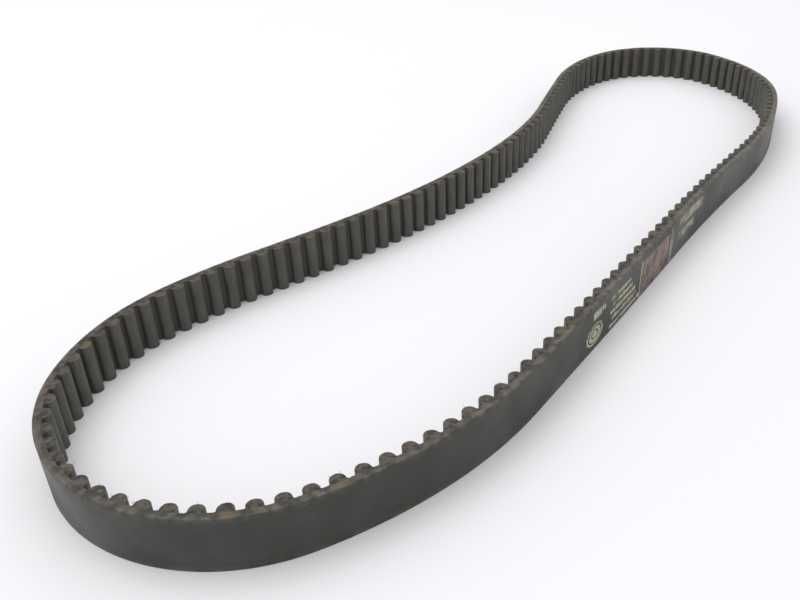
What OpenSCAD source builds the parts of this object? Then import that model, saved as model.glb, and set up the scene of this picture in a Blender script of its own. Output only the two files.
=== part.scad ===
// Timing belt: an endless toothed rubber belt that stands on its edge in a free, S-bent loop.
// Every layer follows one closed pitch line, the line that the middle of the tensile cords takes.
// Depth is measured square to that line: 0 at the cords, positive towards the teeth, which point
// into the loop, and negative towards the smooth back.

/* [Belt] */
// Distance from one tooth to the next along the pitch line
pitch = 8; // [7.5:0.5:14]
// Number of teeth round the loop
tooth_count = 150; // [120:10:220]
// Width of the belt, from the edge it stands on to its upper edge
belt_w = 20; // [14:1:50]

/* [Layers] */
// Rubber from the middle of the cords to the smooth back
cover_t = 1.93; // [1.2:0.01:3]
// From the middle of the cords to the land between two teeth
land_depth = 0.69; // [0.66:0.01:1.2]
// Thickness of the woven nylon facing on teeth and lands
facing_t = 0.18; // [0.1:0.02:0.22]
// Gap between two lengths of the facing, which meet in a butt seam on a land
seam_gap = 0.2; // [0.1:0.05:0.4]
// Lengths of facing that go round the loop
facing_lengths = 5; // [4:1:10]
// Diameter of one tensile cord
cord_d = 0.8; // [0.5:0.05:0.8]
// Turns of cord side by side across the width
cord_turns = 14; // [6:2:14]

/* [Teeth] */
// Height of a tooth above the land
tooth_h = 3.38; // [3:0.01:4.5]
// Width of a tooth where its flanks are widest, facing included
tooth_w = 5.1; // [4:0.1:5.2]
// Radius of the hollow fillet at the foot of each flank
root_r = 0.6; // [0.2:0.05:0.65]

/* [Print on the back] */
// Thickness of the printed ink
ink_t = 0.06; // [0.04:0.01:0.12]
// Distance along the pitch line from the start of the loop to the middle of the round mark
print_start = 1018; // [960:2:1060]
// Diameter of the round mark
roundel_d = 8; // [5:0.5:11]
// Distance from the middle of the round mark to the thin lines
lines_from = 15; // [8:0.5:15]
// Distance from the middle of the round mark to the stripes
stripes_from = 45; // [43:1:47]
// Distance from the middle of the round mark to the short bars
bars_from = 90; // [84:1:100]

/* [Hidden] */

// The loop as a chain of arcs that run into each other without a kink, anticlockwise from above.
// Each has its turn in whole degrees, negative where the belt bends back on itself, and its share
// of the length. The turns add up to a full circle.
BENDS = [
    [20, 99], [48, 100], [91, 77], [20, 27], [20, 48], // right-hand bend, tightest at its middle
    [1, 60], [-15, 74], [-16, 111], [-3, 51],          // rear run with its waist
    [10, 45], [40, 60], [118, 133], [29, 90],          // left-hand bend
    [1, 135], [-4, 93],                                // front run
];
// The two bends whose shares are worked out again so that the loop closes
FREE_A = 1;
FREE_B = 13;
// Heading of the belt where the chain starts
first_heading = 0;
// Nodes that the teeth are shared out over
tooth_groups = 15;
// Length of one straight step where a round stretch is drawn
arc_step = 2;
// Steps round the crown of a tooth, round its foot and along its base
crown_steps = 8;
foot_steps = 2;
base_steps = 6;
// Sides of the round cords and marks where they are drawn
round_fn = 32;

function add(v) = [for (x = v) 1] * v;

loop_len = pitch * tooth_count;
last_bend = len(BENDS) - 1;

// Heading at the start of each bend, and the way across a bend of unit length
heads = [for (i = 0, h = first_heading; i <= last_bend; h = h + BENDS[i][0], i = i + 1) h];
across = [
    for (i = [0 : last_bend])
        let (a = heads[i], b = a + BENDS[i][0])
            [sin(b) - sin(a), cos(a) - cos(b)] / (BENDS[i][0] * PI / 180)
];

// The fixed bends leave a gap, which the two free bends close between them
gap = -add([for (i = [0 : last_bend]) (i == FREE_A || i == FREE_B ? 0 : BENDS[i][1]) * across[i]]);
solved = cross(across[FREE_A], across[FREE_B]);
shares = [
    for (i = [0 : last_bend])
        i == FREE_A ? cross(gap, across[FREE_B]) / solved
            : i == FREE_B ? cross(across[FREE_A], gap) / solved
            : BENDS[i][1]
];
bend_len = shares * loop_len / add(shares);
radii = [for (i = [0 : last_bend]) bend_len[i] / (BENDS[i][0] * PI / 180)];
marks = [for (i = 0, s = 0; i <= last_bend; s = s + bend_len[i], i = i + 1) s];
joints = [
    for (i = 0, p = [0, 0]; i <= last_bend; p = p + bend_len[i] * across[i], i = i + 1) p
];

// Centre of each bend before the loop is moved over the origin
raw_centres = [
    for (i = [0 : last_bend]) joints[i] + radii[i] * [-sin(heads[i]), cos(heads[i])]
];
// The back of the belt at every whole degree of turn, which holds its furthest points
rim = [
    for (i = [0 : last_bend], j = [0 : abs(BENDS[i][0])])
        let (h = heads[i] + sign(BENDS[i][0]) * j)
            raw_centres[i] + (radii[i] + cover_t) * [sin(h), -cos(h)]
];
rim_x = [for (p = rim) p[0]];
rim_y = [for (p = rim) p[1]];
middle = [min(rim_x) + max(rim_x), min(rim_y) + max(rim_y)] / 2;
centres = [for (c = raw_centres) c - middle];

// Bend that a distance along the pitch line falls in
function bend_at(s, i = 0) = i == last_bend || s < marks[i + 1] ? i : bend_at(s, i + 1);

// Heading at a distance along the pitch line
function heading(s) =
    let (i = bend_at(s)) heads[i] + BENDS[i][0] * (s - marks[i]) / bend_len[i];

// Point at a distance along the pitch line and a depth towards the teeth
function at(distance, depth) =
    let (s = distance - floor(distance / loop_len) * loop_len, i = bend_at(s), h = heading(s))
        centres[i] + (radii[i] - depth) * [sin(h), -cos(h)];

// Moves in two steps, whole hundredths first, which keeps the place exact to a millionth
module place(p) {
    whole = [for (v = p) round(v * 100) / 100];
    translate(whole) translate(p - whole) children();
}

// Carries a section round the loop: its x is the distance outwards from the pitch line and its
// y the height above the edge the belt stands on
module along_loop() {
    for (i = [0 : last_bend]) {
        turn = BENDS[i][0];
        place([centres[i][0], centres[i][1], 0])
            rotate_extrude(
                angle = turn,
                start = heads[i] - sign(turn) * 90,
                $fn = ceil(bend_len[i] / arc_step * 360 / abs(turn))
            )
                place([abs(radii[i]), 0])
                    scale([sign(turn), 1]) children();
    }
}

// Sections of the cord turns from first to last, every so many
module cord_sections(first, every) {
    for (k = [first : every : cord_turns - 1])
        translate([0, (k + 0.5) * belt_w / cord_turns]) circle(d = cord_d, $fn = round_fn);
}

// Outer half of the rubber, from the middle of the cords to the smooth back
module back_cover() {
    color("#45463f")
        along_loop() difference() {
            square([cover_t, belt_w]);
            cord_sections(0, 1);
        }
}

// Thin inner half of the rubber, which the cords are bedded in and the facing is bonded to
module cushion() {
    cushion_t = land_depth - facing_t;
    color("#3a3934")
        along_loop() difference() {
            translate([-cushion_t, 0]) square([cushion_t, belt_w]);
            cord_sections(0, 1);
        }
}

// One of the two cords that are wound side by side: it takes every second turn
module tensile_cord(first) {
    color("#cfc8b4")
        for (k = [first : 2 : cord_turns - 1])
            along_loop()
                translate([0, (k + 0.5) * belt_w / cord_turns])
                    circle(d = cord_d, $fn = round_fn);
}

// Outline of a tooth from foot to foot as [along, height above the land], a skin below its outside:
// hollow foot, round crown, hollow foot
crown_r = tooth_w / 2;
crown_h = tooth_h - crown_r;
foot_r = min(root_r, crown_h);
foot_x = crown_r + foot_r;
function tooth_outline(skin) = [
    for (j = [0 : foot_steps])
        let (a = -90 + 90 * j / foot_steps)
            [-foot_x, foot_r] + (foot_r + skin) * [cos(a), sin(a)],
    for (j = [0 : crown_steps])
        let (a = 180 - 180 * j / crown_steps)
            [0, crown_h] + (crown_r - skin) * [cos(a), sin(a)],
    for (j = [0 : foot_steps])
        let (a = 180 + 90 * j / foot_steps)
            [foot_x, foot_r] + (foot_r + skin) * [cos(a), sin(a)],
];

// Middle of a tooth along the pitch line
function tooth_s(k) = (k + 0.5) * pitch;

// A point of a tooth's outline in its place on the loop. A tooth keeps its width where the belt
// bends: the land beside it closes up or opens instead.
function on_tooth(k, p) =
    let (depth = land_depth + p[1], spread = 1 - depth / radii[bend_at(tooth_s(k))])
        at(tooth_s(k) + p[0] / spread, depth);

// Rubber core of one tooth: its base lies on the cushion
module tooth(k) {
    base = [
        for (j = [base_steps - 1 : -1 : 1]) [foot_x * (2 * j / base_steps - 1), -facing_t]
    ];
    linear_extrude(belt_w)
        polygon([for (p = concat(tooth_outline(facing_t), base)) on_tooth(k, p)]);
}

// The teeth of one group, each a solid of its own
module teeth(group) {
    first = round((group - 1) * tooth_count / tooth_groups);
    last = round(group * tooth_count / tooth_groups) - 1;
    color("#4a4741")
        for (k = [first : last]) tooth(k);
}

// One side of a length of facing from seam to seam, a skin below the outside, with a point on each
// land
function facing_side(first, last, skin) = [
    at(first * pitch + seam_gap / 2, land_depth - skin),
    for (k = [first : last]) each [
        if (k > first) at(k * pitch, land_depth - skin),
        for (p = tooth_outline(skin)) on_tooth(k, p),
    ],
    at((last + 1) * pitch - seam_gap / 2, land_depth - skin),
];

// Woven nylon skin over every tooth and land, in lengths that follow one another round the loop
module tooth_facing() {
    color("#2f2d2b")
        for (part = [1 : facing_lengths]) {
            first = round((part - 1) * tooth_count / facing_lengths);
            last = round(part * tooth_count / facing_lengths) - 1;
            back = facing_side(first, last, facing_t);
            linear_extrude(belt_w)
                polygon(concat(
                    facing_side(first, last, 0),
                    [for (j = [len(back) - 1 : -1 : 0]) back[j]]
                ));
        }
}

// Printed bar on the back, from one distance along the loop to another and between two heights
module ink_bar(from, to, low, high) {
    steps = ceil((to - from) / arc_step);
    stations = [for (j = [0 : steps]) from + (to - from) * j / steps];
    backwards = [for (j = [steps : -1 : 0]) stations[j]];
    translate([0, 0, low])
        linear_extrude(high - low)
            polygon(concat(
                [for (s = stations) at(s, -cover_t)],
                [for (s = backwards) at(s, -cover_t - ink_t)]
            ));
}

// Printed disc or ring on the back
module ink_disc(s, z, outer, inner) {
    p = at(s, -cover_t);
    translate([p[0], p[1], z])
        rotate([90, 0, heading(s)])
            difference() {
                cylinder(d = outer, h = ink_t, $fn = 2 * round_fn);
                if (inner > 0)
                    translate([0, 0, -ink_t])
                        cylinder(d = inner, h = 3 * ink_t, $fn = 2 * round_fn);
            }
}

// Plain ring with a dot in it
module print_roundel() {
    color("#a9a59a") {
        ink_disc(print_start, belt_w * 0.34, roundel_d, roundel_d * 0.72);
        ink_disc(print_start, belt_w * 0.34, roundel_d * 0.4, 0);
    }
}

// Three thin lines
module print_lines() {
    from = print_start + lines_from;
    color("#a9a59a")
        for (row = [0 : 2])
            ink_bar(from, from + 27 - 6 * row, belt_w * (0.3 + 0.16 * row),
                    belt_w * (0.35 + 0.16 * row));
}

// Block of upright stripes
module print_stripes() {
    from = print_start + stripes_from;
    color("#9a8c84")
        for (k = [0 : 11])
            ink_bar(from + 3.1 * k, from + 3.1 * k + 1.6, belt_w * 0.1, belt_w * 0.84);
}

// Two rows of short bars
module print_size_bars() {
    from = print_start + bars_from;
    color("#a9a59a")
        for (row = [0 : 1], k = [0 : 4])
            ink_bar(from + 6 * k, from + 6 * k + 4, belt_w * (0.36 + 0.28 * row),
                    belt_w * (0.54 + 0.28 * row));
}

back_cover();
cushion();
tensile_cord(0);  // tensile_cord_s
tensile_cord(1);  // tensile_cord_z
tooth_facing();
teeth(1);  // teeth_01
teeth(2);  // teeth_02
teeth(3);  // teeth_03
teeth(4);  // teeth_04
teeth(5);  // teeth_05
teeth(6);  // teeth_06
teeth(7);  // teeth_07
teeth(8);  // teeth_08
teeth(9);  // teeth_09
teeth(10);  // teeth_10
teeth(11);  // teeth_11
teeth(12);  // teeth_12
teeth(13);  // teeth_13
teeth(14);  // teeth_14
teeth(15);  // teeth_15
print_roundel();
print_lines();
print_stripes();
print_size_bars();
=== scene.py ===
"""Timing belt: an endless toothed rubber belt that stands on its edge in a free, S-bent loop.

Every piece is a surface carried along one closed pitch line. Places on it are given as a distance
along that line, a depth square to it (positive towards the teeth, negative towards the smooth
back) and a height above the edge that the belt stands on, all in metres.
"""

import bmesh
import bpy
import numpy as np
from mathutils import Matrix, Vector


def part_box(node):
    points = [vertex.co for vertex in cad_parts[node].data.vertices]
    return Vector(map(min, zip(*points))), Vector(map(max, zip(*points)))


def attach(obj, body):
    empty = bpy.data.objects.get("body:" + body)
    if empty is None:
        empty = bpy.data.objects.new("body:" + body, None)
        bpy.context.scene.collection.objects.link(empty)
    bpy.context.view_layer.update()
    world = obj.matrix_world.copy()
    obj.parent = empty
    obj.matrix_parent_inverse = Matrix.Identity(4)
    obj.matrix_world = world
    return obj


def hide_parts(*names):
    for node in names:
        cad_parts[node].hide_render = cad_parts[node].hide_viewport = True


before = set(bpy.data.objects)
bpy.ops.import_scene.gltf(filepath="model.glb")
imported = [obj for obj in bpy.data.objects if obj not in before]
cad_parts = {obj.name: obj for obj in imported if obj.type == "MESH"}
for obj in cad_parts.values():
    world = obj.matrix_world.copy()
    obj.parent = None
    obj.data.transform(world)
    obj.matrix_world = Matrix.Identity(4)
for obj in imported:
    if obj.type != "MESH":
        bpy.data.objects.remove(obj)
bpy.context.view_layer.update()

bl_info = {
    "name": "Timing belt",
    "version": (1, 0, 0),
    "blender": (4, 5, 0),
    "location": "View3D > Sidebar > Timing belt",
    "description": "Builds a toothed rubber belt, layer by layer, along its closed pitch line",
    "category": "Object",
}

MM = 0.001
COVER_LOW, COVER_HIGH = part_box("back_cover")
BELT_WIDTH = COVER_HIGH.z - COVER_LOW.z

# The loop as arcs that meet without a kink: turn in whole degrees, negative where the belt bends
# back on itself, and share of the length. Two of the shares are worked out again to close it.
BENDS = (
    (20, 99), (48, 100), (91, 77), (20, 27), (20, 48),  # right-hand bend, tightest at its middle
    (1, 60), (-15, 74), (-16, 111), (-3, 51),           # rear run with its waist
    (10, 45), (40, 60), (118, 133), (29, 90),           # left-hand bend
    (1, 135), (-4, 93),                                 # front run
)
FREE_BENDS = (1, 13)
TOOTH_GROUPS = 15

RUBBER_WEAR = 0.12 * MM         # how deep the upper slit edge of the rubber is worn
FACING_WEAR = 0.16 * MM         # the same for the facing
LAYER_STEP = 1.5 * MM           # between two sections of a rubber layer along the loop
CORD_RADIUS_SHARE = 0.48        # of the diameter: a little inside the CAD cord
INK_BEDDED = 0.05 * MM          # how far the ink reaches into the cover
ROUND_MARK = (7.2 * MM, 4.6 * MM)   # half its length and half its height
ROUND_MARK_HEIGHT = 0.36        # of the width, at its middle
END_RECESS = 0.12 * MM          # from a slit edge in to the rim of a tooth's end
END_RELIEF = 0.1 * MM           # dome and pits on a tooth's end
THREAD_COUNT = 260
THREAD_RADIUS = 0.055 * MM
BANDS_PER_SCALE = 3.2           # bands in one metre of a wave texture at a scale of 1, nearly
SENSOR_WIDTH = 36


# ---------------------------------------------------------------- sizes and colours

def linear(hex_colour):
    """An sRGB colour written as hex, as the linear red, green and blue that shaders take."""
    value = np.array([int(hex_colour[i:i + 2], 16) for i in (1, 3, 5)]) / 255
    return tuple(np.where(value <= 0.04045, value / 12.92, ((value + 0.055) / 1.055) ** 2.4))


def length(name, description, millimetres):
    """A length property with its default in millimetres."""
    return bpy.props.FloatProperty(
        name=name, description=description, default=millimetres * MM, unit="LENGTH",
        precision=5,
    )


def colour(name, description, hex_colour):
    """A colour property with its default as sRGB hex."""
    return bpy.props.FloatVectorProperty(
        name=name, description=description, default=linear(hex_colour), subtype="COLOR",
        size=3, min=0, max=1,
    )


class BeltSizes(bpy.types.PropertyGroup):
    """Sizes of the belt and its layers."""

    pitch: length("Pitch", "From one tooth to the next along the pitch line", 8)
    tooth_count: bpy.props.IntProperty(
        name="Teeth", description="Number of teeth round the loop", default=150
    )
    width: length("Width", "From the edge the belt stands on to its upper edge", BELT_WIDTH / MM)
    cover: length("Cover", "Rubber from the middle of the cords to the smooth back", 1.93)
    land: length("Land depth", "From the middle of the cords to the land between teeth", 0.69)
    facing: length("Facing", "Thickness of the woven nylon on teeth and lands", 0.18)
    seam: length("Seam", "Gap where the two ends of the facing meet on a land", 0.2)
    cord: length("Cord", "Diameter of one tensile cord", 0.8)
    cord_turns: bpy.props.IntProperty(
        name="Cord turns", description="Turns of cord across the width", default=14
    )
    tooth_height: length("Tooth height", "Height of a tooth above the land", 3.38)
    tooth_width: length("Tooth width", "Width of a tooth at its widest", 5.1)
    foot: length("Foot radius", "Radius of the hollow fillet at a tooth's foot", 0.6)
    edge_round: length("Edge rounding", "Rounding of the cut edges", 0.12)
    ink: length("Ink", "Thickness of the printed ink", 0.06)
    print_start: length("Print start", "Distance along the loop to the round mark", 1018)


class BeltColours(bpy.types.PropertyGroup):
    """Colours of the belt's surfaces."""

    rubber: colour("Rubber", "Ground back of the rubber cover", "#3c3e39")
    rubber_dust: colour("Dust", "Pale dust and scuffs on the rubber", "#5b5a53")
    cut: colour("Cut rubber", "Rubber where the belt was slit to width", "#625e55")
    cut_dark: colour("Cut rubber, dark", "Darker patches of the slit edge", "#3d3a34")
    facing: colour("Facing", "Nylon facing in the gaps between teeth", "#44433d")
    # Painted highlight as well as real polish: this light grey is laid most strongly in a band
    # along the tooth flanks.
    facing_worn_and_highlight: colour("Facing, worn", "Nylon facing polished on the teeth", "#8b8b80")
    rust: colour("Stain", "Brown stain along edges and tooth tips", "#6e5e4c")
    glass: colour("Glass cord", "Latex-dipped glass fibre", "#cfc6ad")
    thread: colour("Frayed thread", "Loose nylon ends on the slit edges", "#5f574b")
    ink: colour("Ink", "Printed marks on the back", "#b5b29a")
    stripe_ink: colour("Stripe ink", "Printed stripes on the back", "#a08a80")
    floor: colour("Floor", "Plain floor and backdrop", "#f7f6f8")


# ---------------------------------------------------------------- the pitch line

class PitchLine:
    """The closed line that the middle of the cords takes, from above and anticlockwise.

    Each bend is an arc: its radius is its length over its turn in radians, and its centre lies to
    the left of its start by that radius, which is negative where the belt bends back.
    """

    def __init__(self, sizes):
        turns, shares = np.array(BENDS, float).T
        self.turns = np.radians(turns)
        self.heads = np.concatenate(([0.0], np.cumsum(self.turns)[:-1]))
        ends = self.heads + self.turns
        across = np.stack([np.sin(ends) - np.sin(self.heads),
                           np.cos(self.heads) - np.cos(ends)], 1) / self.turns[:, None]
        free = list(FREE_BENDS)
        shares[free] = 0
        shares[free] = np.linalg.solve(across[free].T, -shares @ across)
        self.length = sizes.pitch * sizes.tooth_count
        lengths = shares * self.length / shares.sum()
        self.marks = np.concatenate(([0.0], np.cumsum(lengths)))
        self.radii = lengths / self.turns
        starts = np.concatenate((np.zeros((1, 2)), np.cumsum(lengths[:, None] * across, 0)[:-1]))
        lefts = np.stack([-np.sin(self.heads), np.cos(self.heads)], 1)
        self.centres = starts + self.radii[:, None] * lefts
        rim = self.at(np.linspace(0, self.length, 24001), -sizes.cover)
        self.centres -= (rim.min(0) + rim.max(0)) / 2

    def bend(self, distance):
        """Number of the bend that each distance falls in."""
        place = np.mod(distance, self.length)
        return np.clip(np.searchsorted(self.marks, place, "right") - 1, 0, len(BENDS) - 1)

    def heading(self, distance):
        """Heading at each distance, in radians from +X: it grows evenly along a bend."""
        place = np.mod(distance, self.length)
        i = self.bend(distance)
        share = (place - self.marks[i]) / (self.marks[i + 1] - self.marks[i])
        return self.heads[i] + self.turns[i] * share

    def at(self, distance, depth):
        """Points at each distance and depth: the bend's centre plus what is left of its radius."""
        distance, depth = np.broadcast_arrays(np.asarray(distance, float), depth)
        i = self.bend(distance)
        h = self.heading(distance)
        rest = (self.radii[i] - depth)[..., None]
        return self.centres[i] + rest * np.stack([np.sin(h), -np.cos(h)], -1)

    def place(self, distance, depth, height):
        """The same with a height: points in space."""
        xy = self.at(distance, depth)
        return np.concatenate([xy, np.broadcast_to(height, xy.shape[:-1])[..., None]], -1)

    def stations(self, step):
        """Even distances round the whole loop, about one step apart."""
        count = int(round(self.length / step))
        return np.arange(count) * self.length / count


# ---------------------------------------------------------------- surfaces

def waves(seed, count, longest, shortest, *coordinates):
    """Smooth noise between about -1 and 1: a sum of sine waves with wavelengths spread evenly, on
    a log scale, between two lengths, each with a random direction, phase and equal share."""
    rng = np.random.default_rng(seed)
    total = 0
    for wavelength in np.geomspace(longest, shortest, count):
        direction = rng.normal(size=len(coordinates))
        direction /= np.linalg.norm(direction)
        turn = sum(c * d for c, d in zip(coordinates, direction)) / wavelength
        total = total + np.sin(2 * np.pi * (turn + rng.random()))
    return total / np.sqrt(count)


def build(name, points, faces, uv, masks):
    """A mesh object from points, faces and a uv for each corner of each face, in metres. Its faces
    are turned over if the volume that they enclose comes out negative."""
    corners = points[faces]
    middle = points.mean(0)
    first = np.cross(corners[:, 1] - corners[:, 0], corners[:, 2] - corners[:, 0])
    second = np.cross(corners[:, 2] - corners[:, 0], corners[:, 3] - corners[:, 0])
    if ((corners[:, 0] - middle) * (first + second)).sum() < 0:
        faces = faces[:, ::-1]
        uv = uv[:, ::-1]
    mesh = bpy.data.meshes.new(name)
    mesh.vertices.add(len(points))
    mesh.vertices.foreach_set("co", points.ravel())
    mesh.loops.add(faces.size)
    mesh.loops.foreach_set("vertex_index", faces.ravel().astype(np.int32))
    mesh.polygons.add(len(faces))
    mesh.polygons.foreach_set("loop_start", np.arange(len(faces), dtype=np.int32) * 4)
    mesh.update(calc_edges=True)
    mesh.uv_layers.new(name="along_and_across").data.foreach_set("uv", uv.ravel())
    for mask, values in masks.items():
        mesh.attributes.new(mask, "FLOAT", "POINT").data.foreach_set("value", values.ravel())
    mesh.polygons.foreach_set("use_smooth", np.ones(len(faces), bool))
    obj = bpy.data.objects.new(name, mesh)
    bpy.context.scene.collection.objects.link(obj)
    return obj


def grid_faces(rows, columns, close_rows, close_columns):
    """Corner numbers of every face of a grid, wrapped round where it closes, and the same corners
    unwrapped, as row and column."""
    i, j = np.meshgrid(np.arange(rows if close_rows else rows - 1),
                       np.arange(columns if close_columns else columns - 1), indexing="ij")
    row = np.stack([i, i + 1, i + 1, i], -1).reshape(-1, 4)
    column = np.stack([j, j, j + 1, j + 1], -1).reshape(-1, 4)
    return (row % rows) * columns + column % columns, row, column


def closed_sweep(name, points, along, around, masks):
    """A closed section carried round a closed path: a grid of points that wraps both ways. along
    holds the distance of each row and around that of each column, with the end repeated."""
    rows, columns = points.shape[:2]
    faces, row, column = grid_faces(rows, columns, True, True)
    uv = np.stack([along[row], around[column]], -1)
    return build(name, points.reshape(-1, 3), faces, uv, masks)


def repeat_grid(name, points, along, around, close_rows, close_columns):
    """One mesh of many like grids: points is numbered by grid, row and column."""
    count, rows, columns = points.shape[:3]
    faces, row, column = grid_faces(rows, columns, close_rows, close_columns)
    uv = np.stack([along[row], around[column]], -1)
    faces = (faces + np.arange(count)[:, None, None] * rows * columns).reshape(-1, 4)
    uv = np.tile(uv, (count, 1, 1))
    return build(name, points.reshape(-1, 3), faces, uv, {})


def close_up(obj):
    """Merges the points that a grid gathers at its poles and fills the ends that it leaves open."""
    mesh = bmesh.new()
    mesh.from_mesh(obj.data)
    bmesh.ops.remove_doubles(mesh, verts=mesh.verts, dist=0.5e-6)
    rims = [edge for edge in mesh.edges if edge.is_boundary]
    if rims:
        bmesh.ops.holes_fill(mesh, edges=rims, sides=0)
        bmesh.ops.recalc_face_normals(mesh, faces=mesh.faces)
    mesh.to_mesh(obj.data)
    mesh.free()
    return obj


def finish_piece(obj, material, slot, *nodes):
    """Gives a piece its material, its body and the CAD nodes that it stands for; slot is not used.
    """
    obj.data.materials.append(material)
    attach(obj, "root")
    if nodes:
        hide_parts(*nodes)
    return obj


# ---------------------------------------------------------------- materials

def add(tree, kind, values=None, links=None, **settings):
    """Adds a node with its settings, its socket values and its incoming links."""
    item = tree.nodes.new(kind)
    for setting, value in settings.items():
        setattr(item, setting, value)
    for socket, value in (values or {}).items():
        item.inputs[socket].default_value = value
    for socket, source in (links or {}).items():
        tree.links.new(source, item.inputs[socket])
    return item


def new_material(name):
    """An empty material with its output, and its tree."""
    material = bpy.data.materials.new(name)
    material.use_nodes = True
    tree = material.node_tree
    tree.nodes.clear()
    return material, tree


def blend_colours(tree, factor, first, second):
    """Mixes two colours, each a property value or the output of another node."""
    item = add(tree, "ShaderNodeMix", data_type="RGBA")
    for socket, value in ((0, factor), (6, first), (7, second)):
        if isinstance(value, bpy.types.NodeSocket):
            tree.links.new(value, item.inputs[socket])
        else:
            item.inputs[socket].default_value = value if socket == 0 else (*value, 1)
    return item.outputs[2]


def ramp(tree, source, low, high):
    """Stretches the stretch of a value between low and high over 0 to 1."""
    return add(tree, "ShaderNodeMapRange",
               {"From Min": low, "From Max": high}, {"Value": source}).outputs[0]


def noise(tree, vector, wavelength, detail=3.0, stretch=(1, 1, 1)):
    """Noise whose blotches are about one wavelength across, in metres, drawn out by stretch."""
    scaled = add(tree, "ShaderNodeMapping",
                 {"Scale": tuple(1 / (wavelength * s) for s in stretch)}, {"Vector": vector})
    return add(tree, "ShaderNodeTexNoise", {"Scale": 1.0, "Detail": detail},
               {"Vector": scaled.outputs[0]}).outputs[0]


def bump(tree, height, distance, strength=1.0, under=None):
    """Turns a height between 0 and 1 into relief of that distance in metres."""
    links = {"Height": height}
    if under is not None:
        links["Normal"] = under
    return add(tree, "ShaderNodeBump", {"Distance": distance, "Strength": strength},
               links).outputs[0]


def close(tree, base, roughness, normal, **constants):
    """Ends a tree with its shader and output."""
    shader = add(tree, "ShaderNodeBsdfPrincipled",
                 {name.replace("_", " "): value for name, value in constants.items()},
                 {"Base Color": base, "Normal": normal})
    if isinstance(roughness, bpy.types.NodeSocket):
        tree.links.new(roughness, shader.inputs["Roughness"])
    else:
        shader.inputs["Roughness"].default_value = roughness
    add(tree, "ShaderNodeOutputMaterial", links={"Surface": shader.outputs[0]})


def ground_rubber(colours):
    """Chloroprene rubber, ground to thickness on the back and slit with a knife on both edges:
    a dull dark surface with fine marks along the belt and dust in them, and a rougher, paler and
    stained cut."""
    material, tree = new_material("ground_chloroprene_rubber")
    uv = add(tree, "ShaderNodeUVMap", uv_map="along_and_across").outputs[0]
    place = add(tree, "ShaderNodeTexCoord").outputs["Object"]
    cut = add(tree, "ShaderNodeAttribute", attribute_name="cut").outputs["Fac"]
    cloud = noise(tree, place, 22 * MM, 4)
    grain = noise(tree, place, 0.35 * MM, 3)
    grinding = noise(tree, uv, 0.22 * MM, 2, (60, 1, 1))
    dusty = ramp(tree, cloud, 0.42, 0.75)
    back = blend_colours(tree, dusty, colours.rubber, colours.rubber_dust)
    streaked = blend_colours(tree, ramp(tree, grinding, 0.35, 0.8), colours.rubber, back)
    patches = noise(tree, place, 3.2 * MM, 4)
    slit = blend_colours(tree, ramp(tree, patches, 0.4, 0.62), colours.cut_dark, colours.cut)
    stain = noise(tree, place, 14 * MM, 3)
    slit = blend_colours(tree, ramp(tree, stain, 0.6, 0.74), slit, colours.rust)
    base = blend_colours(tree, cut, streaked, slit)
    fine = bump(tree, grinding, 0.02 * MM, 0.5)
    relief = bump(tree, grain, 0.06 * MM, 0.6, fine)
    rough = ramp(tree, cloud, 1.4, -0.6)
    close(tree, base, rough, relief, Specular_IOR_Level=0.22)
    return material


def cut_rubber(colours):
    """Rubber tooth ends, left rough by the slitting knife: paler, with short fibres in them."""
    material, tree = new_material("slit_tooth_rubber")
    place = add(tree, "ShaderNodeTexCoord").outputs["Object"]
    patches = noise(tree, place, 1.6 * MM, 4)
    stain = noise(tree, place, 11 * MM, 3)
    base = blend_colours(tree, ramp(tree, patches, 0.38, 0.65), colours.cut_dark, colours.cut)
    base = blend_colours(tree, ramp(tree, stain, 0.52, 0.7), base, colours.rust)
    relief = bump(tree, noise(tree, place, 0.3 * MM, 3), 0.12 * MM, 0.8)
    close(tree, base, 0.85, relief, Specular_IOR_Level=0.25)
    return material


def woven_nylon(colours):
    """Woven nylon moulded into the rubber: threads half a millimetre apart that cross over and
    under, dark with rubber in the gaps and lighter grey on the crowns of the teeth: partly real
    polish and partly a painted highlight, brightest in a band along the flanks."""
    material, tree = new_material("woven_nylon_facing")
    uv = add(tree, "ShaderNodeUVMap", uv_map="along_and_across").outputs[0]
    place = add(tree, "ShaderNodeTexCoord").outputs["Object"]
    # The crown mask marks real polish and a painted highlight along the tooth flanks.
    crown = add(tree, "ShaderNodeAttribute", attribute_name="crown").outputs["Fac"]
    cut = add(tree, "ShaderNodeAttribute", attribute_name="cut").outputs["Fac"]
    thread = 0.5 * MM
    lie = {"Scale": 1 / thread / BANDS_PER_SCALE, "Distortion": 0.6}
    warp = add(tree, "ShaderNodeTexWave", lie, {"Vector": uv}, bands_direction="X").outputs["Fac"]
    weft = add(tree, "ShaderNodeTexWave", lie, {"Vector": uv}, bands_direction="Y").outputs["Fac"]
    weave = add(tree, "ShaderNodeMath", links={0: warp, 1: weft}, operation="MULTIPLY").outputs[0]
    blotch = noise(tree, place, 9 * MM, 4)
    streak = noise(tree, uv, 1.3 * MM, 3, (0.4, 9, 1))
    uneven = add(tree, "ShaderNodeMath", links={0: ramp(tree, blotch, 0.2, 0.75),
                                                1: ramp(tree, streak, 0.25, 0.7)},
                 operation="MULTIPLY").outputs[0]
    # Painted highlight together with real polish: the lighter facing colour goes where the crown
    # mask is high, broken up by blotches and streaks.
    worn = add(tree, "ShaderNodeMath", links={0: crown, 1: uneven},
               operation="MULTIPLY").outputs[0]
    base = blend_colours(tree, worn, colours.facing, colours.facing_worn_and_highlight)
    base = blend_colours(tree, ramp(tree, weave, -0.5, 0.45), colours.cut_dark, base)
    frayed = blend_colours(tree, ramp(tree, blotch, 0.42, 0.62), colours.cut_dark, colours.rust)
    base = blend_colours(tree, cut, base, frayed)
    relief = bump(tree, weave, 0.14 * MM, 0.9)
    relief = bump(tree, noise(tree, place, 0.4 * MM, 3), 0.05 * MM, 0.5, relief)
    close(tree, base, ramp(tree, worn, -2.2, 1.9), relief, IOR=1.53)
    return material


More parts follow.
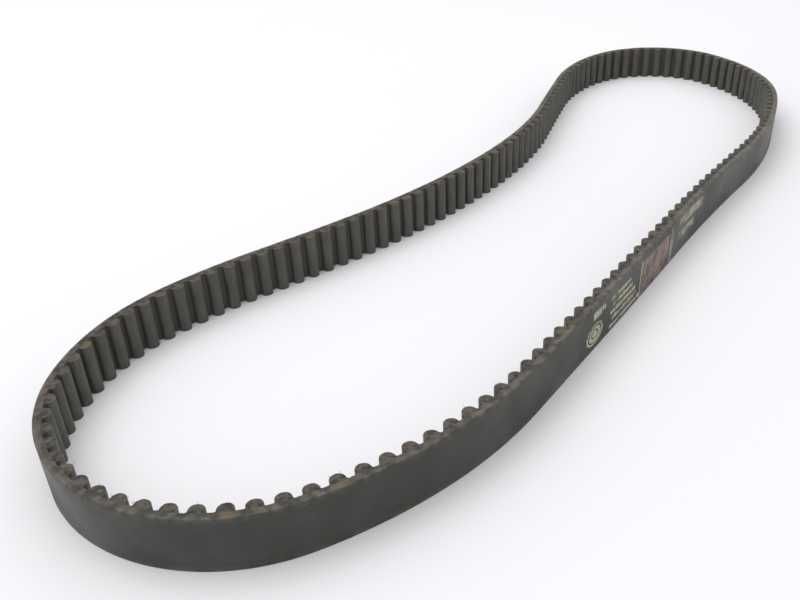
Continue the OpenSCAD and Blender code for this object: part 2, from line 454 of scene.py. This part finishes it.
def dipped_glass(colours):
    """Twisted glass fibre with a latex dip: pale strands that show as a fine slanting lay."""
    material, tree = new_material("latex_dipped_glass_cord")
    uv = add(tree, "ShaderNodeUVMap", uv_map="along_and_across").outputs[0]
    place = add(tree, "ShaderNodeTexCoord").outputs["Object"]
    lay = add(tree, "ShaderNodeTexWave", {"Scale": 260.0, "Distortion": 0.3}, {"Vector": uv},
              bands_direction="DIAGONAL").outputs["Fac"]
    tint = ramp(tree, noise(tree, place, 4 * MM, 3), 0.3, 0.7)
    base = blend_colours(tree, tint, colours.glass, colours.thread)
    close(tree, base, 0.5, bump(tree, lay, 0.05 * MM, 0.7), IOR=1.5)
    return material


def worn_ink(name, printed, colours):
    """Thin matt ink, rubbed through in specks so that the rubber under it shows."""
    material, tree = new_material(name)
    place = add(tree, "ShaderNodeTexCoord").outputs["Object"]
    specks = noise(tree, place, 0.7 * MM, 5)
    patches = noise(tree, place, 6 * MM, 3)
    both = add(tree, "ShaderNodeMath", links={0: specks, 1: patches}, operation="ADD").outputs[0]
    base = blend_colours(tree, ramp(tree, both, 0.78, 1.03), colours.rubber, printed)
    close(tree, base, 0.7, bump(tree, specks, 0.02 * MM, 0.5), IOR=1.45)
    return material


def frayed_nylon(colours):
    """Loose nylon filament, dusty and dull."""
    material, tree = new_material("frayed_nylon_thread")
    place = add(tree, "ShaderNodeTexCoord").outputs["Object"]
    tint = ramp(tree, noise(tree, place, 5 * MM, 3), 0.35, 0.65)
    base = blend_colours(tree, tint, colours.thread, colours.cut)
    close(tree, base, 0.7, bump(tree, noise(tree, place, 0.2 * MM, 2), 0.03 * MM), IOR=1.53)
    return material


# ---------------------------------------------------------------- sections and outlines

def rounded_box(outer, inner, height, corner, steps=4, rows=10):
    """Closed section of a layer as (outward, height): straight sides joined by quarter circles on
    the outer side only, anticlockwise, with rows of points up each side."""
    quarter = np.linspace(0, np.pi / 2, steps + 1)
    low = np.stack([outer - corner + corner * np.sin(quarter),
                    corner - corner * np.cos(quarter)], 1)
    rise = np.linspace(corner, height - corner, rows)[1:-1]
    side = np.stack([np.full_like(rise, outer), rise], 1)
    high = np.stack([low[::-1, 0], height - low[::-1, 1]], 1)
    fall = np.linspace(height, 0, rows)
    back = np.stack([np.full_like(fall, inner), fall], 1)
    return np.concatenate([low, side, high, back])


def section_lengths(section):
    """Distance round a closed section at each point, with the whole way round at the end."""
    steps = np.linalg.norm(np.roll(section, -1, 0) - section, axis=1)
    return np.concatenate(([0.0], np.cumsum(steps)))


def tooth_outline(sizes, skin, foot_steps=4, crown_steps=14):
    """Outline of a tooth from foot to foot as (along, height above the land), a skin below its
    outside: a hollow quarter circle, the half circle of the crown, and the other hollow."""
    crown = sizes.tooth_width / 2
    crown_height = sizes.tooth_height - crown
    foot = min(sizes.foot, crown_height)
    hollow = np.linspace(-np.pi / 2, 0, foot_steps + 1)
    left = np.stack([-crown - foot + (foot + skin) * np.cos(hollow),
                     foot + (foot + skin) * np.sin(hollow)], 1)
    round_top = np.linspace(np.pi, 0, crown_steps + 1)
    top = np.stack([(crown - skin) * np.cos(round_top),
                    crown_height + (crown - skin) * np.sin(round_top)], 1)
    right = left[::-1] * (-1, 1)
    return np.concatenate([left, top, right])


def on_teeth(line, sizes, teeth, outline):
    """An outline on each of the teeth, as distance and depth. A tooth keeps its width where the
    belt bends, so what lies at a depth is spread by the radius over what is left of it there."""
    middle = (np.asarray(teeth)[:, None] + 0.5) * sizes.pitch
    depth = np.broadcast_to(sizes.land + outline[:, 1], (len(middle), len(outline)))
    spread = 1 - depth / line.radii[line.bend(middle)]
    return middle + outline[:, 0] / spread, depth


def tooth_strip(line, sizes, skin):
    """The whole toothed side from seam to seam, as distance, depth and height above the land."""
    outline = tooth_outline(sizes, skin)
    teeth = np.arange(sizes.tooth_count)
    distance, depth = on_teeth(line, sizes, teeth, outline)
    lands = teeth[:, None] * sizes.pitch
    distance = np.concatenate([lands, distance], 1).ravel()
    depth = np.concatenate([np.full_like(lands, sizes.land - skin, dtype=float), depth], 1).ravel()
    distance[0] = sizes.seam / 2
    distance = np.append(distance, line.length - sizes.seam / 2)
    depth = np.append(depth, sizes.land - skin)
    return distance, depth


# ---------------------------------------------------------------- the pieces

def settings(context):
    """The sizes, the colours and the pitch line."""
    sizes = context.scene.belt_sizes
    return sizes, context.scene.belt_colours, PitchLine(sizes)


def rough_edges(points, top, seed, amount):
    """Wears the upper cut edge unevenly: heights near it move down by smooth noise."""
    x, y, z = points[..., 0], points[..., 1], points[..., 2]
    near_top = np.clip(1 - (top - z) / (0.3 * MM), 0, 1)
    bite = amount * (0.5 + 0.5 * waves(seed, 7, 30 * MM, 1.2 * MM, x, y))
    points[..., 2] = z - near_top * np.clip(bite, 0, amount)
    return points


class BELT_OT_back_cover(bpy.types.Operator):
    """Back cover: the rubber from the middle of the cords to the smooth back"""

    bl_idname = "belt.back_cover"
    bl_label = "Back cover"

    def execute(self, context):
        sizes, colours, line = settings(context)
        section = rounded_box(sizes.cover, 0, sizes.width, sizes.edge_round * 2)
        along = line.stations(LAYER_STEP)
        points = line.place(along[:, None], -section[:, 0], section[:, 1])
        points = rough_edges(points, sizes.width, 3, RUBBER_WEAR)
        edge = np.minimum(section[:, 1], sizes.width - section[:, 1])
        cut = np.broadcast_to(np.clip(1 - edge / (0.5 * MM), 0, 1), points.shape[:2])
        obj = closed_sweep("back_cover_rubber", points, np.append(along, line.length),
                           section_lengths(section), {"cut": cut})
        finish_piece(obj, ground_rubber(colours), "cover_rubber", "back_cover")
        return {"FINISHED"}


class BELT_OT_cushion(bpy.types.Operator):
    """Cushion: the thin rubber that the cords are bedded in and the facing is bonded to"""

    bl_idname = "belt.cushion"
    bl_label = "Cushion"

    def execute(self, context):
        sizes, colours, line = settings(context)
        depth = sizes.land - sizes.facing
        section = rounded_box(0, -depth, sizes.width, 0.02 * MM, 1, 4)
        along = line.stations(LAYER_STEP)
        points = line.place(along[:, None], -section[:, 0], section[:, 1])
        points = rough_edges(points, sizes.width, 3, RUBBER_WEAR)
        cut = np.ones(points.shape[:2])
        obj = closed_sweep("cushion_rubber_strip", points, np.append(along, line.length),
                           section_lengths(section), {"cut": cut})
        finish_piece(obj, ground_rubber(colours), "cushion_rubber", "cushion")
        return {"FINISHED"}


class BELT_OT_cords(bpy.types.Operator):
    """Tensile cords: the two glass cords that lie side by side in the rubber"""

    bl_idname = "belt.cords"
    bl_label = "Tensile cords"

    def execute(self, context):
        sizes, colours, line = settings(context)
        material = dipped_glass(colours)
        for name, first in (("tensile_cord_s", 0), ("tensile_cord_z", 1)):
            obj = cord_rings(name + "_twist", line, sizes, first)
            finish_piece(obj, material, "glass_cord", name)
        return {"FINISHED"}


def cord_rings(name, line, sizes, first):
    """Every second turn of cord, each a circle of the cord's radius r carried round the loop:
    depth = r cos(a), height = middle + r sin(a)."""
    along = line.stations(2 * MM)
    angle = np.arange(8) * np.pi / 4
    radius = sizes.cord * CORD_RADIUS_SHARE
    middles = (np.arange(first, sizes.cord_turns, 2) + 0.5) * sizes.width / sizes.cord_turns
    depth = np.broadcast_to(radius * np.cos(angle), (len(middles), len(along), 8))
    height = middles[:, None, None] + radius * np.sin(angle)
    points = line.place(along[:, None], depth, height)
    around = np.append(angle, 2 * np.pi) * radius
    rows = np.append(along, line.length)
    return repeat_grid(name, points, rows, around, True, True)


class BELT_OT_facing(bpy.types.Operator):
    """Tooth facing: the woven nylon skin over every tooth and land"""

    bl_idname = "belt.facing"
    bl_label = "Tooth facing"

    def execute(self, context):
        sizes, colours, line = settings(context)
        rows = np.array([0, 0.15, 0.5, 1.5, 4, 10, 16, 18.5, 19.5, 19.85, 20]) / 20 * sizes.width
        front, front_depth = tooth_strip(line, sizes, 0)
        rear, rear_depth = tooth_strip(line, sizes, sizes.facing)
        distance = np.concatenate([np.repeat(front[:, None], len(rows), 1),
                                   np.repeat(rear[:, None], 2, 1)], 1)
        depth = np.concatenate([np.repeat(front_depth[:, None], len(rows), 1),
                                np.repeat(rear_depth[:, None], 2, 1)], 1)
        height = np.concatenate([rows, [sizes.width, 0]])
        points = line.place(distance, depth, height)
        points = rough_edges(points, sizes.width, 5, FACING_WEAR)
        step = np.linalg.norm(np.diff(points[:, 0, :2], axis=0), axis=1)
        along = np.concatenate(([0.0], np.cumsum(step)))
        around = np.concatenate([height, [-sizes.facing]])
        # Crown mask, partly real polish and partly painted highlight: a little lighter up the
        # tooth, and lightest in a painted highlight band along the flanks at about 0.62 of the
        # tooth's height.
        crown = np.clip((depth - sizes.land) / sizes.tooth_height, 0, 1)
        crown = 0.35 * crown + 0.65 * np.exp(-((crown - 0.62) / 0.2) ** 2)
        edge = np.minimum(height, sizes.width - height)
        cut = np.broadcast_to(np.clip(1 - edge / (0.2 * MM), 0, 1), crown.shape)
        columns = len(height)
        faces, row, column = grid_faces(len(front), columns, False, True)
        uv = np.stack([along[row], around[column]], -1)
        obj = build("nylon_tooth_facing", points.reshape(-1, 3), faces, uv,
                    {"crown": crown, "cut": cut})
        finish_piece(close_up(obj), woven_nylon(colours), "nylon_facing", "tooth_facing")
        return {"FINISHED"}


class BELT_OT_teeth(bpy.types.Operator):
    """Teeth: the rubber cores under the facing, with their slit ends showing on both edges"""

    bl_idname = "belt.teeth"
    bl_label = "Teeth"

    def execute(self, context):
        sizes, colours, line = settings(context)
        material = cut_rubber(colours)
        outline = tooth_outline(sizes, sizes.facing)
        ends = np.linspace(1, 0, 7)[1:-1, None]
        base = np.stack([(ends[:, 0] * 2 - 1) * outline[-1, 0],
                         np.full(len(ends), -sizes.facing)], 1)
        outline = np.concatenate([outline, base])
        shares = np.round(np.linspace(0, sizes.tooth_count, TOOTH_GROUPS + 1)).astype(int)
        for group in range(TOOTH_GROUPS):
            teeth = np.arange(shares[group], shares[group + 1])
            obj = tooth_cores(f"tooth_cores_{group + 1:02d}", line, sizes, teeth, outline)
            finish_piece(obj, material, "tooth_rubber", f"teeth_{group + 1:02d}")
        return {"FINISHED"}


def tooth_cores(name, line, sizes, teeth, outline):
    """Cores of some teeth. Each is its outline carried from one edge to the other; at both ends
    it shrinks in rings to a point at its middle, with a little dome and roughness on the way."""
    middle = np.array([0, sizes.tooth_height * 0.4])
    shrink = np.array([0.0, 0.3, 0.6, 0.85, 0.97, 1.0])
    dome = END_RELIEF * (1 - shrink ** 2)
    share = np.concatenate([shrink, shrink[::-1]])
    height = np.concatenate([END_RECESS - dome, sizes.width - END_RECESS + dome[::-1]])
    rings = middle + (outline - middle) * share[:, None, None]
    blocks = [on_teeth(line, sizes, teeth, ring) for ring in rings]
    distance = np.stack([b[0] for b in blocks], 1)
    depth = np.stack([b[1] for b in blocks], 1)
    points = line.place(distance, depth, height[:, None])
    x, y = points[..., 0], points[..., 1]
    pits = END_RELIEF * waves(11, 6, 3 * MM, 0.5 * MM, x, y)
    inside = np.where(share < 1, 1.0, 0.0)[:, None]
    inwards = np.sign(height - sizes.width / 2)[:, None]
    points[..., 2] -= np.clip(pits, 0, END_RELIEF) * inside * inwards
    around = section_lengths(outline)
    obj = repeat_grid(name, points, height, around, False, True)
    return close_up(obj)


class BELT_OT_print(bpy.types.Operator):
    """Print: plain rings, dashes, stripes and bars in worn ink on the back"""

    bl_idname = "belt.print"
    bl_label = "Print"

    def execute(self, context):
        sizes, colours, line = settings(context)
        pale = worn_ink("worn_pale_ink", colours.ink, colours)
        brown = worn_ink("worn_stripe_ink", colours.stripe_ink, colours)
        start = sizes.print_start
        round_mark = ink_rings("printed_round_mark", line, sizes, start)
        finish_piece(round_mark, pale, "ink", "print_roundel")
        dashes = ink_patches("printed_dashes", line, sizes, dash_rows(start + 14 * MM))
        finish_piece(dashes, pale, "ink", "print_lines")
        stripes = ink_patches("printed_stripes", line, sizes, stripe_block(start + 44 * MM))
        finish_piece(stripes, brown, "ink", "print_stripes")
        bars = ink_patches("printed_bars", line, sizes, bar_rows(start + 89 * MM))
        finish_piece(bars, pale, "ink", "print_size_bars")
        return {"FINISHED"}


def ink_rings(name, line, sizes, middle):
    """Three oval rings of ink, one inside the other: a flat rectangular section carried round each
    oval, with distance = middle + a cos(t) and height = h + b sin(t)."""
    turn = np.arange(64) * np.pi / 32
    out = -sizes.cover - sizes.ink
    back = -sizes.cover + INK_BEDDED
    rings = []
    for outer, inner in ((1.0, 0.82), (0.7, 0.42), (0.3, 0.01)):
        share = np.array([outer, outer, inner, inner])
        along = middle + ROUND_MARK[0] * share * np.cos(turn)[:, None]
        rise = ROUND_MARK[1] * share * np.sin(turn)[:, None]
        height = ROUND_MARK_HEIGHT * sizes.width + rise
        depth = np.array([back, out, out, back])
        rings.append(line.place(along, np.broadcast_to(depth, along.shape), height))
    around = np.array([0, 0.1, 1.5, 1.6, 3.0]) * MM
    rows = np.append(turn, 2 * np.pi) * 5 * MM
    return repeat_grid(name, np.array(rings), rows, around, True, True)


def ink_patches(name, line, sizes, patches):
    """Thin curved slabs of ink. Each patch gives its start, end, bottom and top: a rectangle of
    that height carried along that stretch of the back, drawn in to its middle at both ends."""
    patches = np.asarray(patches)
    start, end, low, high = patches.T[..., None, None]
    share = np.concatenate([[0], np.linspace(0, 1, 7), [1]])[:, None]
    closed = np.ones((len(share), 4))
    closed[[0, -1]] = 0
    along = np.broadcast_to(start + (end - start) * share, (len(patches), len(share), 4))
    middle = (low + high) / 2
    corners = np.array([-1, -1, 1, 1]) * closed
    height = middle + (high - low) / 2 * corners
    half = (sizes.ink + INK_BEDDED) / 2
    depth = INK_BEDDED - half - sizes.cover + half * np.array([1, -1, -1, 1]) * closed
    points = line.place(along, np.broadcast_to(depth, along.shape), height)
    around = np.array([0, 0.1, 2.0, 2.1, 4.1]) * MM
    return close_up(repeat_grid(name, points, share[:, 0] * 3 * MM, around, False, True))


def dash_rows(start):
    """Five rows of short dashes of uneven length, a pair of bars above the round mark and the
    tall bars that the stripes stand between."""
    rng = np.random.default_rng(4)
    patches = [(start - 16 * MM, start - 9 * MM, 13.6 * MM, 17 * MM),
               (start - 8.2 * MM, start - 5.2 * MM, 14.2 * MM, 16.6 * MM),
               (start + 29.8 * MM, start + 30.9 * MM, 0.6 * MM, 17.4 * MM),
               (start + 64.6 * MM, start + 65.6 * MM, 0.6 * MM, 17.8 * MM),
               (start + 66.8 * MM, start + 67.6 * MM, 0.6 * MM, 17.8 * MM)]
    for row in range(5):
        place = start + row % 2 * 2 * MM
        end = start + (27 - 2.2 * row) * MM
        low = (1.6 + 3.1 * row) * MM
        while place < end:
            wide = rng.uniform(1.0, 3.2) * MM
            patches.append((place, place + wide, low, low + rng.uniform(1.3, 1.9) * MM))
            place += wide + 0.55 * MM
    return patches


def stripe_block(start):
    """A block of thin upright stripes."""
    rng = np.random.default_rng(8)
    patches = []
    place = start + 1.6 * MM
    while place < start + 32 * MM:
        wide = rng.uniform(0.5, 1.4) * MM
        patches.append((place, place + wide, 0.8 * MM, 16.4 * MM))
        place += wide + rng.uniform(0.4, 0.8) * MM
    return patches


def bar_rows(start):
    """Two rows of tall bars."""
    rng = np.random.default_rng(2)
    patches = []
    for low, high, end in ((7.2, 11.0, 19), (13.4, 17.8, 27)):
        place = start
        while place < start + end * MM:
            wide = rng.uniform(1.2, 3.2) * MM
            patches.append((place, place + wide, low * MM, high * MM))
            place += wide + 0.9 * MM
    return patches


class BELT_OT_frayed_threads(bpy.types.Operator):
    """Frayed threads: loose ends of the nylon facing on the upper slit edge"""

    bl_idname = "belt.frayed_threads"
    bl_label = "Frayed threads"

    def execute(self, context):
        sizes, colours, line = settings(context)
        rng = np.random.default_rng(21)
        count = THREAD_COUNT
        tooth = rng.integers(0, sizes.tooth_count, count)
        outline = tooth_outline(sizes, 0.05 * MM)
        corner = rng.integers(2, len(outline) - 2, count)
        distance, depth = on_teeth(line, sizes, tooth, outline)
        pick = np.arange(count)
        root = line.place(distance[pick, corner], depth[pick, corner],
                          np.full(count, sizes.width - 0.15 * MM))
        reach = rng.uniform(0.3, 1.4, count) * MM
        way = rng.normal(size=(count, 3)) * (1, 1, 0.5) + (0, 0, 0.7)
        way /= np.linalg.norm(way, axis=1)[:, None]
        curl = rng.normal(size=(count, 3)) * 0.45
        obj = filaments("frayed_threads", root, way, curl, reach, THREAD_RADIUS)
        finish_piece(obj, frayed_nylon(colours), "nylon_facing")
        return {"FINISHED"}


def filaments(name, root, way, curl, reach, thick):
    """Thin tapered hairs: at share t of its reach a hair's middle is root + reach (way t +
    curl t^2), and its section is a five-sided ring of radius thick (1 - 0.9 t^3), closed at both
    ends."""
    share = np.concatenate([[0], np.linspace(0, 1, 7), [1]])[:, None]
    closed = np.ones_like(share)
    closed[[0, -1]] = 0
    middle = root[:, None] + reach[:, None, None] * (way[:, None] * share
                                                     + curl[:, None] * share ** 2)
    side = np.cross(way, (0.31, 0.2, 0.93))
    side /= np.linalg.norm(side, axis=1)[:, None]
    other = np.cross(way, side)
    angle = np.arange(5) * 2 * np.pi / 5
    ring = (side[:, None, None] * np.cos(angle)[:, None]
            + other[:, None, None] * np.sin(angle)[:, None])
    radius = thick * (1 - 0.9 * share ** 3) * closed
    points = middle[:, :, None] + ring * radius[None, :, :, None]
    around = np.append(angle, 2 * np.pi) * thick
    return close_up(repeat_grid(name, points, share[:, 0] * 2 * MM, around, False, True))


# ---------------------------------------------------------------- the stage

class StageSettings(bpy.types.PropertyGroup):
    """Camera."""

    eye: bpy.props.FloatVectorProperty(
        name="Eye", description="Place of the camera",
        default=(-0.33119, -0.19288, 0.17871), subtype="TRANSLATION", size=3,
    )
    heading: bpy.props.FloatProperty(
        name="Heading", description="Way the camera looks, anticlockwise from +X",
        default=np.radians(40.655), subtype="ANGLE",
    )
    tilt: bpy.props.FloatProperty(
        name="Tilt", description="How far the camera looks down",
        default=np.radians(30.832), subtype="ANGLE",
    )
    roll: bpy.props.FloatProperty(
        name="Roll", description="How far the camera leans to its right",
        default=np.radians(3.029), subtype="ANGLE",
    )
    lens: bpy.props.FloatProperty(
        name="Lens", description="Focal length on a sensor 36 mm wide", default=37.07,
    )


class BELT_OT_stage(bpy.types.Operator):
    """Stage: a pale floor, soft light from above and the camera"""

    bl_idname = "belt.stage"
    bl_label = "Stage"

    def execute(self, context):
        scene = context.scene
        stage = scene.belt_stage
        data = bpy.data.cameras.new("camera")
        data.lens = stage.lens
        data.sensor_width = SENSOR_WIDTH
        data.clip_start = 0.01
        camera = bpy.data.objects.new("camera", data)
        scene.collection.objects.link(camera)
        turn = (Matrix.Rotation(stage.heading - np.pi / 2, 4, "Z")
                @ Matrix.Rotation(np.pi / 2 - stage.tilt, 4, "X")
                @ Matrix.Rotation(-stage.roll, 4, "Z"))
        camera.matrix_world = Matrix.Translation(Vector(stage.eye)) @ turn
        scene.camera = camera
        add_floor(scene)
        add_light(scene, "key", (-0.4, 0.5, 1.5), 1.2, 8.0)
        add_light(scene, "fill", (0.9, 1.0, 1.3), 1.6, 2.0)
        add_room(scene)
        scene.view_settings.view_transform = "Standard"
        return {"FINISHED"}


def add_light(scene, name, place, size, power):
    """A square soft light aimed at the middle of the loop."""
    data = bpy.data.lights.new(name, "AREA")
    data.size = size
    data.energy = power
    lamp = bpy.data.objects.new(name, data)
    scene.collection.objects.link(lamp)
    aim = Vector(place).to_track_quat("Z", "Y").to_matrix().to_4x4()
    lamp.matrix_world = Matrix.Translation(Vector(place)) @ aim


def add_room(scene):
    """An even pale room as the world, which the camera, mirrors and glass see as plain white."""
    world = bpy.data.worlds.new("soft_room")
    world.use_nodes = True
    scene.world = world
    tree = world.node_tree
    tree.nodes.clear()
    room = add(tree, "ShaderNodeBackground", {"Color": (0.975, 0.98, 1, 1), "Strength": 0.84})
    white = add(tree, "ShaderNodeBackground", {"Color": (1, 1, 1, 1), "Strength": 1.0})
    path = add(tree, "ShaderNodeLightPath")
    seen = add(tree, "ShaderNodeMath", operation="MAXIMUM", links={
        0: path.outputs["Is Camera Ray"], 1: path.outputs["Is Glossy Ray"]})
    seen = add(tree, "ShaderNodeMath", operation="MAXIMUM", links={
        0: seen.outputs[0], 1: path.outputs["Is Transmission Ray"]})
    both = add(tree, "ShaderNodeMixShader", links={
        0: seen.outputs[0], 1: room.outputs[0], 2: white.outputs[0]})
    add(tree, "ShaderNodeOutputWorld", links={"Surface": both.outputs[0]})


def add_floor(scene):
    """A wide matt floor under the belt."""
    half = 40.0
    corners = [(-half, -half, 0), (half, -half, 0), (half, half, 0), (-half, half, 0)]
    mesh = bpy.data.meshes.new("floor")
    mesh.from_pydata(corners, [], [(0, 1, 2, 3)])
    floor = bpy.data.objects.new("floor", mesh)
    scene.collection.objects.link(floor)
    material, tree = new_material("plain_pale_floor")
    place = add(tree, "ShaderNodeTexCoord").outputs["Object"]
    tint = ramp(tree, noise(tree, place, 400 * MM, 2), 0.2, 0.8)
    pale = scene.belt_colours.floor
    shade = tuple(c * 0.97 for c in pale)
    base = blend_colours(tree, tint, pale, shade)
    close(tree, base, 0.9, bump(tree, noise(tree, place, 2 * MM), 0.01 * MM, 0.2), IOR=1.3)
    mesh.materials.append(material)


# ---------------------------------------------------------------- panel and running

class BELT_PT_panel(bpy.types.Panel):
    """Lists the pieces in the sidebar"""

    bl_idname = "BELT_PT_panel"
    bl_label = "Timing belt"
    bl_space_type = "VIEW_3D"
    bl_region_type = "UI"
    bl_category = "Timing belt"

    def draw(self, context):
        for operator in OPERATORS:
            self.layout.operator(operator.bl_idname)
        for name in ("pitch", "tooth_count", "width", "tooth_height", "tooth_width"):
            self.layout.prop(context.scene.belt_sizes, name)


OPERATORS = (BELT_OT_stage, BELT_OT_back_cover, BELT_OT_cushion, BELT_OT_cords,
             BELT_OT_facing, BELT_OT_teeth, BELT_OT_print, BELT_OT_frayed_threads)
GROUPS = (("belt_sizes", BeltSizes), ("belt_colours", BeltColours), ("belt_stage", StageSettings))


def register():
    """Registers every class and hangs the property groups on the scene."""
    for cls in [group for _, group in GROUPS] + list(OPERATORS) + [BELT_PT_panel]:
        bpy.utils.register_class(cls)
    for name, group in GROUPS:
        setattr(bpy.types.Scene, name, bpy.props.PointerProperty(type=group))


def unregister():
    """Takes back what register did."""
    for name, _ in GROUPS:
        delattr(bpy.types.Scene, name)
    for cls in [BELT_PT_panel] + list(OPERATORS) + [group for _, group in GROUPS]:
        bpy.utils.unregister_class(cls)


def main():
    """Runs the operators in order."""
    register()
    bpy.ops.belt.stage()
    bpy.ops.belt.back_cover()
    bpy.ops.belt.cushion()
    bpy.ops.belt.cords()
    bpy.ops.belt.facing()
    bpy.ops.belt.teeth()
    bpy.ops.belt.print()
    bpy.ops.belt.frayed_threads()


if __name__ == "__main__":
    main()
